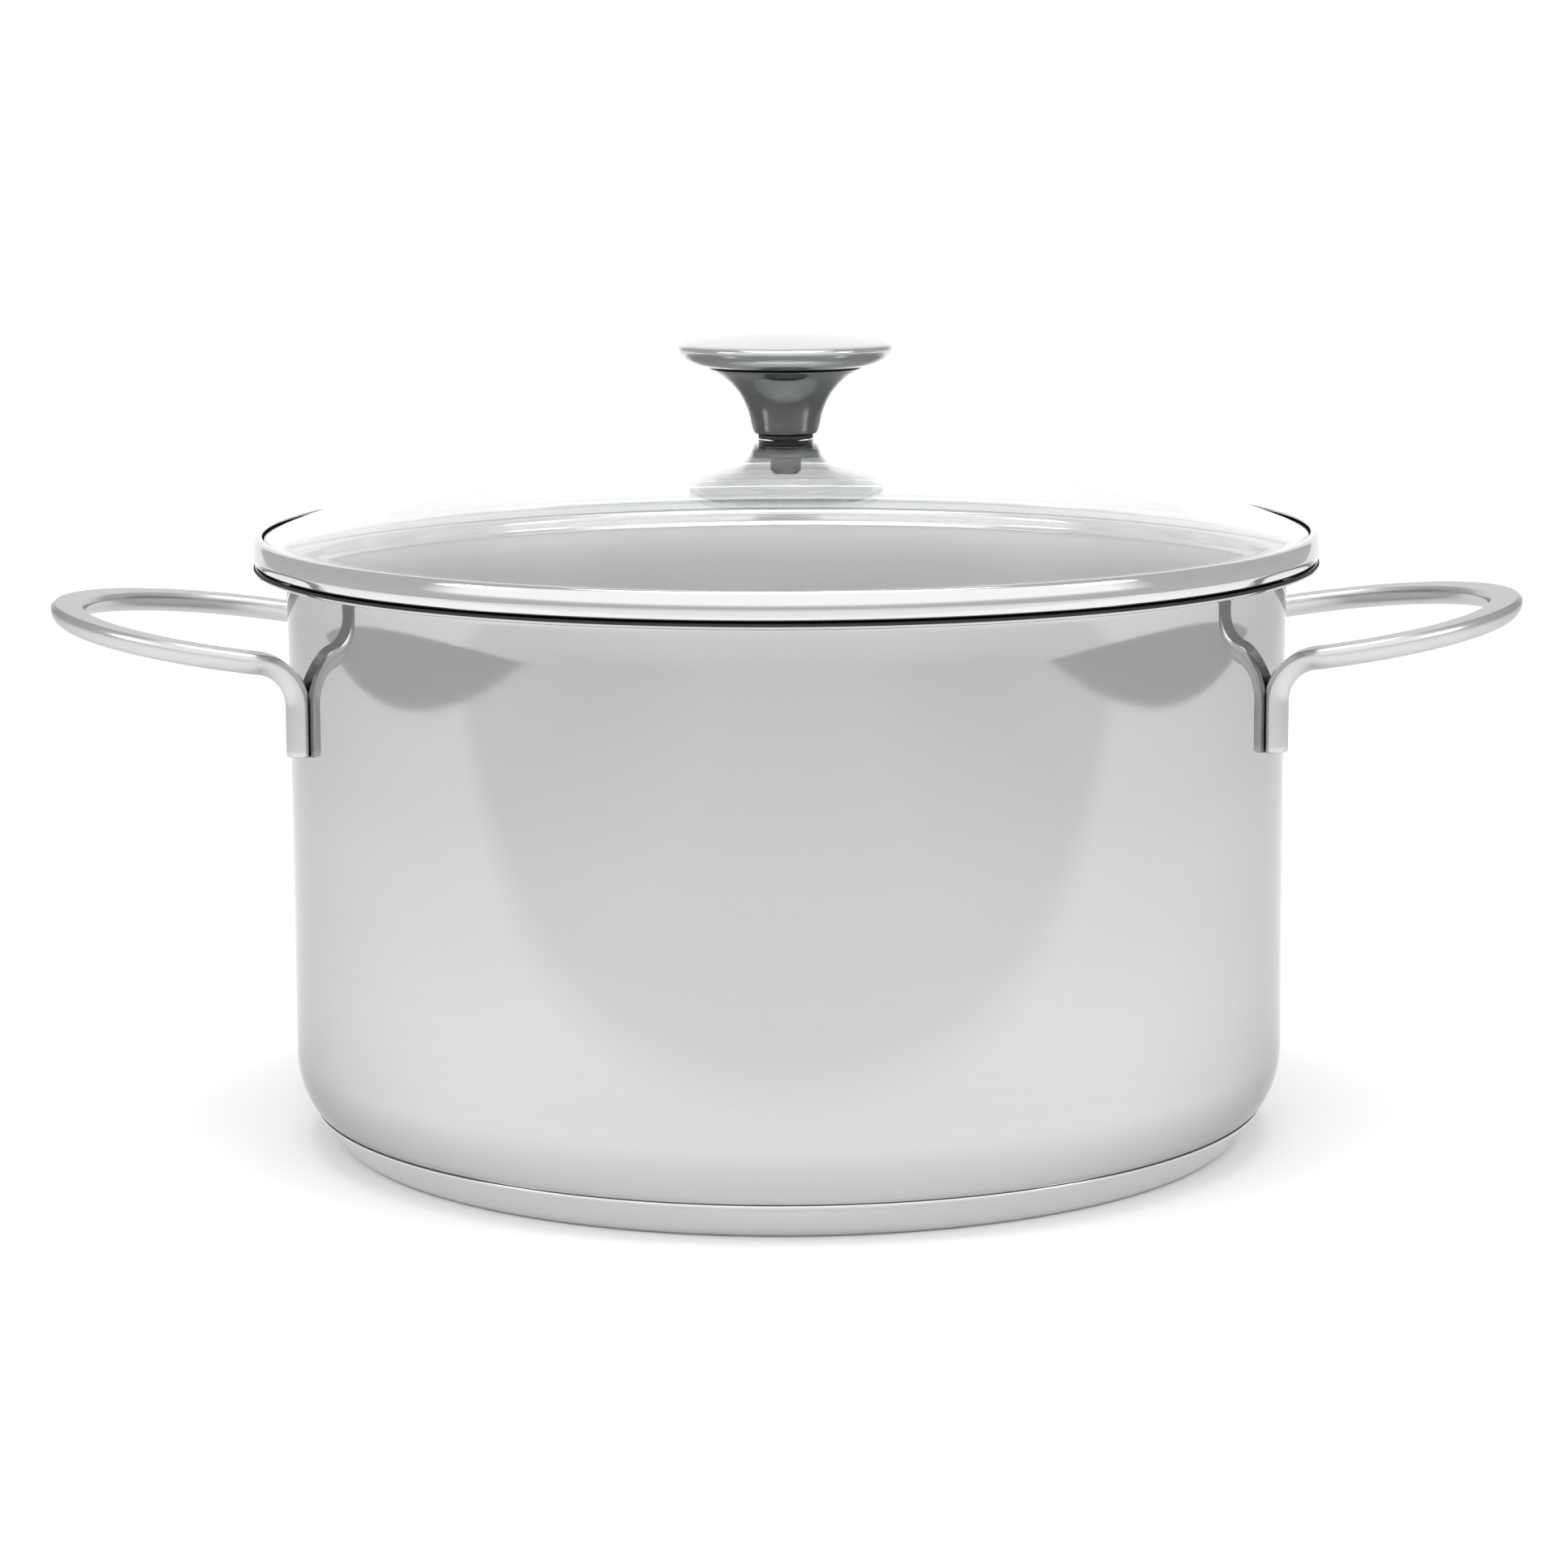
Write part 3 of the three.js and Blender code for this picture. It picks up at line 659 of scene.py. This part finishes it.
# %% Make the knob
top_edge_r = KNOB_R - 1.3
top_edge_z = KNOB_TOP - 1.9
share = np.linspace(0.97, 0, 16)
knob_outline = np.vstack([
    [[0, KNOB_FOOT], [FLARE_R, KNOB_FOOT]],
    spline([[FLARE_R + 0.5, KNOB_FOOT + 0.1], [KNOB_R - 3.5, KNOB_FOOT + 0.9],
            [KNOB_R - 1.4, KNOB_FOOT + 2.1], [KNOB_R - 0.45, KNOB_FOOT + 3.3],
            [KNOB_R, KNOB_TOP - 3.1], [KNOB_R - 0.35, KNOB_TOP - 2.35],
            [top_edge_r, top_edge_z]], 30),
    np.stack([top_edge_r * share, KNOB_TOP - (KNOB_TOP - top_edge_z) * share ** 2], -1),
])
disc = turned("knob_disc", eased(knob_outline, 0.2, 3, closed=False), 192)
finish_piece(disc, "knob_cap", knob_steel)
disc.data.materials.append(knob_top_steel)
on_top = face_data(disc.data, "center")[:, 2] / MM > top_edge_z + 0.02
disc.data.polygons.foreach_set("material_index", on_top.astype(np.int32))

BORE_R, BORE_DEPTH, STEM_FOOT_R = 4.3, 10.8, 7.4
flare = spline([[STEM_FOOT_R, STEM_FOOT], [STEM_FOOT_R + 0.6, STEM_FOOT + 1.0],
                [9.3, STEM_FOOT + 5.9], [11.5, STEM_TOP - 5.7], [14.8, STEM_TOP - 2.3],
                [FLARE_R, STEM_TOP]], 36)
bore = [[0, STEM_FOOT + BORE_DEPTH], [BORE_R, STEM_FOOT + BORE_DEPTH], [BORE_R, STEM_FOOT]]
stem_outline = np.vstack([bore, flare, [[0, STEM_TOP]]])
stem = turned("knob_trumpet", eased(stem_outline, 0.2, 3, closed=False), 160)
# The stem gets the steel with painted shade.
finish_piece(stem, "knob_stem", stem_steel_painted_shade)

# %% [markdown]
# ## The screw stack
# One screw from below clamps the glass between the stem and a washer, with soft gaskets on
# both sides and a grommet in the hole. Through the glass they show as small dark rings.

# %% Make the small rings
SCREW_HOLE_R = 2.3
SQUEEZED_OUT = 1.3      # how far the screw's pull presses the stem's gasket outwards


def small_ring(name, node, material, wider=0.0):
    """A flat ring with eased edges round the screw hole: its CAD node's radius, and wider."""
    outer, foot, top = reach(node)
    outer += wider
    corners = [[SCREW_HOLE_R, foot], [outer, foot], [outer, top], [SCREW_HOLE_R, top]]
    finish_piece(turned(name, eased(corners, 0.22, 5), 96), node, material)


small_ring("stem_gasket", "upper_gasket", silicone, SQUEEZED_OUT)
small_ring("hole_grommet", "glass_grommet", silicone)
small_ring("washer_gasket", "lower_gasket", silicone)
small_ring("steel_washer", "clamp_washer", washer_steel)
small_ring("threaded_bush", "knob_bush", brass)
refinish_node("lid_screw", washer_steel)

# %% [markdown]
# ## The handles
# Each handle is one D-shaped rod, bent twice near its ends: two short tabs stand against
# the wall, where they are spot welded, and the loop rises gently away from the pot. The
# flat side of the rod lies on the wall and turns up on the loop. The rod is a section
# carried along a path. The path is worked out for the near half and mirrored for the far
# half, so both tabs are alike.

# %% The rod's path
ROD_T, HALF_W, FLAT_W, SHOULDER = 5.2, 4.1, 3.2, 1.15
TAB_ANGLE = math.radians(20.4)
TAB_GROUND, BEND_R = 0.9, 10.4
LOOP_X, LOOP_Y, LOOP_REACH = 129.5, 46.6, 44.7
LOOP_TOP, SLOPE = 124.8, 0.14
TAB_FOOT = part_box("handle_right")[0].z / MM
WALL_CLEAR = WALL_R + 0.02        # no point of a handle lies nearer to the axis than this
CUT_ROUND = 0.5         # rounding of the rod's cut ends


def loop_z(x):
    """Height of the rod's middle line over x: a plane that rises away from the pot."""
    return LOOP_TOP - ROD_T / 2 + SLOPE * (x - LOOP_X)


def near_half():
    """Points of the middle line from the near tab's foot to the loop's far end: a straight
    line, a circle of BEND_R, a cubic Bezier and a quarter of an ellipse."""
    out = np.array([math.cos(TAB_ANGLE), -math.sin(TAB_ANGLE), 0])
    rise = math.atan(SLOPE * math.cos(TAB_ANGLE))
    tab_r = WALL_R + 0.3 + ROD_T / 2 - TAB_GROUND
    bend_r = tab_r + BEND_R
    leg_r = bend_r - BEND_R * math.sin(rise)
    leg_z = loop_z(leg_r * out[0])
    bend_z = leg_z - BEND_R * math.cos(rise)
    up = np.array([0, 0, 1.0])
    z = np.linspace(TAB_FOOT, bend_z, 9)[:-1, None]
    tab = out * tab_r + up * z
    a = np.linspace(0, math.pi / 2 - rise, 26)[:-1, None]
    bend = out * (bend_r - BEND_R * np.cos(a)) + up * (bend_z + BEND_R * np.sin(a))
    start = out * leg_r + up * leg_z
    end = np.array([LOOP_X, -LOOP_Y, loop_z(LOOP_X)])
    hold = 0.4 * (LOOP_X - start[0])
    c1 = start + hold * np.array([1, -math.tan(TAB_ANGLE), SLOPE])
    c2 = end - hold * np.array([1, 0, SLOPE])
    t = np.linspace(0, 1, 13)[:-1, None]
    leg = ((1 - t) ** 3 * start + 3 * t * (1 - t) ** 2 * c1
           + 3 * t ** 2 * (1 - t) * c2 + t ** 3 * end)
    a = np.linspace(0, math.pi / 2, 61)
    x = LOOP_X + LOOP_REACH * np.sin(a)
    loop = np.stack([x, -LOOP_Y * np.cos(a), loop_z(x)], -1)
    return np.vstack([tab, bend, leg, loop])


half = near_half()
path = np.vstack([half, (half * [1, -1, 1])[-2::-1]])
rod_length = np.linalg.norm(np.diff(path, axis=0), axis=1).sum()
print(f"handle path: {len(path)} points, {rod_length:.0f} mm of rod")


# %% The rod
def section():
    """The D: a flat with tiny rounded edges, a bevelled shoulder and half an ellipse.
    The first number points to the flat side, the second one across."""
    flat, shoulder = ROD_T / 2, ROD_T / 2 - SHOULDER
    back = ellipse(shoulder, 0, ROD_T - SHOULDER, HALF_W, 90, 270, 33)
    bevels = [[shoulder, -HALF_W], [flat, -FLAT_W], [flat, FLAT_W], [shoulder, HALF_W]]
    front = eased(bevels, 0.3, 6)[6:-6]
    steps = np.linspace(-1, 1, 9)[1:-1, None] * [0, FLAT_W - 0.4] + [flat, 0]
    return np.vstack([front[:6], steps, front[6:], back])


def frames(line):
    """Along, towards the flat side, and across, at every point of the line. The flat side
    leans from the wall on the tabs to the loop's upper side over the bends."""
    along = np.gradient(line, axis=0)
    along /= np.linalg.norm(along, axis=1, keepdims=True)
    loop_up = np.array([-SLOPE, 0, 1]) / math.hypot(SLOPE, 1)
    side = np.where(np.arange(len(line)) < len(line) / 2, -1.0, 1.0)
    out = side[:, None] * [0, math.sin(TAB_ANGLE), 0] + [math.cos(TAB_ANGLE), 0, 0]
    facing = loop_up - out * np.abs(along @ loop_up)[:, None]
    across = np.cross(along, facing)
    across /= np.linalg.norm(across, axis=1, keepdims=True)
    return along, np.cross(across, along), across


def rod(name, half_turn):
    """The section carried along the path. Three rings at each end shrink on a quarter circle
    to round the cut end off, and a pole closes it. Points inside the wall move out to it.
    half_turn is 1 on the right; -1 turns x and y round to make the left handle."""
    along, flat, across = frames(path)
    a = np.radians([90, 60, 30])
    inner = len(path) - 2
    shrink, back_off = 1 - CUT_ROUND / HALF_W * (1 - np.cos(a)), CUT_ROUND * (1 - np.sin(a))
    size = np.concatenate([[0], shrink, np.ones(inner), shrink[::-1], [0]])
    slide = np.concatenate([[0], back_off, np.zeros(inner), -back_off[::-1], [0]])
    pick = np.concatenate([[0] * 4, np.arange(1, inner + 1), [inner + 1] * 4])
    s = section()
    points = (path[pick] + along[pick] * slide[:, None])[:, None] + size[:, None, None] * (
        flat[pick][:, None] * s[None, :, :1] + across[pick][:, None] * s[None, :, 1:])
    radius = np.hypot(points[..., 0], points[..., 1])
    push = np.maximum(1, WALL_CLEAR / radius)
    points[..., :2] *= push[..., None]
    points[..., :2] *= half_turn
    piece = skin(name, points * MM, poles=(True, True))
    print(f"{name}: {triangles(piece)} triangles")
    return piece


for node, name, half_turn in (("handle_right", "rod_right", 1), ("handle_left", "rod_left", -1)):
    finish_piece(rod(name, half_turn), node, rod_steel)

# %% [markdown]
# ## The studio
# A pale sweep: a floor that runs into a curved back wall. Past its edges the room is
# darker, and mirror steel shows that as soft grey patches near the handles. The floor's
# colour is painted a little darker in front of the pot and towards its sides: painted
# shade, which the wall shows as well.

# %% Floor and backdrop
def sweep():
    """A sheet with one outline, straight, a quarter circle, straight, carried along X."""
    front, back, curve, top, half_w = -1.5, 1.0, 0.45, 1.9, 0.86
    a = np.linspace(0, math.pi / 2, 24)
    level = np.linspace(front, back, 12)[:-1]
    y = np.concatenate([level, back + curve * np.sin(a), [back + curve]])
    z = np.concatenate([0 * level, curve - curve * np.cos(a), [top]])
    n = len(y)
    x = np.repeat([half_w, -half_w], n)
    points = np.stack([x, np.tile(y, 2), np.tile(z, 2)], -1)
    k = np.arange(n - 1)
    faces = np.stack([k, k + 1, n + k + 1, n + k], -1)
    mesh = bpy.data.meshes.new("sweep")
    mesh.from_pydata(points.tolist(), [], faces.tolist())
    mesh.polygons.foreach_set("use_smooth", np.ones(n - 1, bool))
    floor = bpy.data.objects.new("sweep", mesh)
    scene.collection.objects.link(floor)
    return floor


floor = sweep()
# Painted shade: the floor's colour drops in front of the pot and towards its sides.
FRONT_SHADE_TONE, PAPER_TONE, SIDE_SHADE = 0.81, 0.925, 0.075
paper, tree, main = shader("Pale paper", Roughness=0.9)
at = add(tree, "SeparateXYZ", {0: add(tree, "TexCoord").outputs["Object"]}).outputs
near_to_far = span(tree, at["Y"], -0.31, -0.24, FRONT_SHADE_TONE, PAPER_TONE)
aside = span(tree, maths(tree, "ABSOLUTE", at["X"]), 0.25, 0.62, 0.0, SIDE_SHADE)
tone = maths(tree, "SUBTRACT", near_to_far, aside)
tree.links.new(grey(tree, tone), main.inputs["Base Color"])
floor.data.materials.append(paper)

# %% [markdown]
# The light comes from a bright sky in front and above, from a large softbox overhead and
# from two softboxes at the sides. All of it is white.

# %% Light
BELOW, SKY_BACK, SKY_FRONT = 0.64, 0.62, 1.37
world = bpy.data.worlds.new("studio")
scene.world = world
world.use_nodes = True
tree = world.node_tree
way = add(tree, "SeparateXYZ", {0: add(tree, "TexCoord").outputs["Generated"]}).outputs
above = span(tree, way["Z"], -0.02, 0.03)
sky = span(tree, way["Y"], -0.12, -0.3, SKY_BACK, SKY_FRONT)
room = maths(tree, "MULTIPLY_ADD", above, maths(tree, "SUBTRACT", sky, BELOW), BELOW)
tree.links.new(grey(tree, room), tree.nodes["Background"].inputs["Color"])


def softbox(name, place_at, aim, size, power):
    """A square area light that looks at a point."""
    lamp = bpy.data.lights.new(name, "AREA")
    lamp.shape, lamp.size, lamp.energy = "SQUARE", size, power
    box = bpy.data.objects.new(name, lamp)
    scene.collection.objects.link(box)
    box.location = place_at
    towards = Vector(aim) - Vector(place_at)
    box.rotation_euler = towards.to_track_quat("-Z", "Y").to_euler()


softbox("overhead", (0, -0.05, 1.3), (0, 0, 0), 0.9, 9)
softbox("left", (-1.5, -0.5, 1.0), (0, 0, 0.1), 0.45, 3)
softbox("right", (1.5, -0.5, 1.0), (0, 0, 0.1), 0.45, 3)

# %% [markdown]
# The camera stands a little over a metre in front of the pot and looks down by 9.45 degrees
# through a long lens, so the pot's circles stay flat ellipses.

# %% Camera
CAMERA_D, CAMERA_H = 1.0988, 0.26757    # distance from the axis and height, in metres
PITCH, ROLL, PAN = math.radians(9.45), math.radians(0.294), math.radians(0.044)
LENS, SENSOR = 104.61, 36.0             # in mm
camera = bpy.data.objects.new("camera", bpy.data.cameras.new("camera"))
scene.collection.objects.link(camera)
camera.data.lens, camera.data.sensor_width = LENS, SENSOR
tilt = Matrix.Rotation(math.pi / 2 - PITCH, 4, "X")
turn = Matrix.Rotation(PAN, 4, "Z") @ tilt @ Matrix.Rotation(-ROLL, 4, "Z")
camera.matrix_world = Matrix.Translation((0, -CAMERA_D, CAMERA_H)) @ turn
scene.camera = camera
scene.view_settings.view_transform = "Standard"
scene.view_settings.look = "None"

# %% Update the scene
bpy.context.view_layer.update()
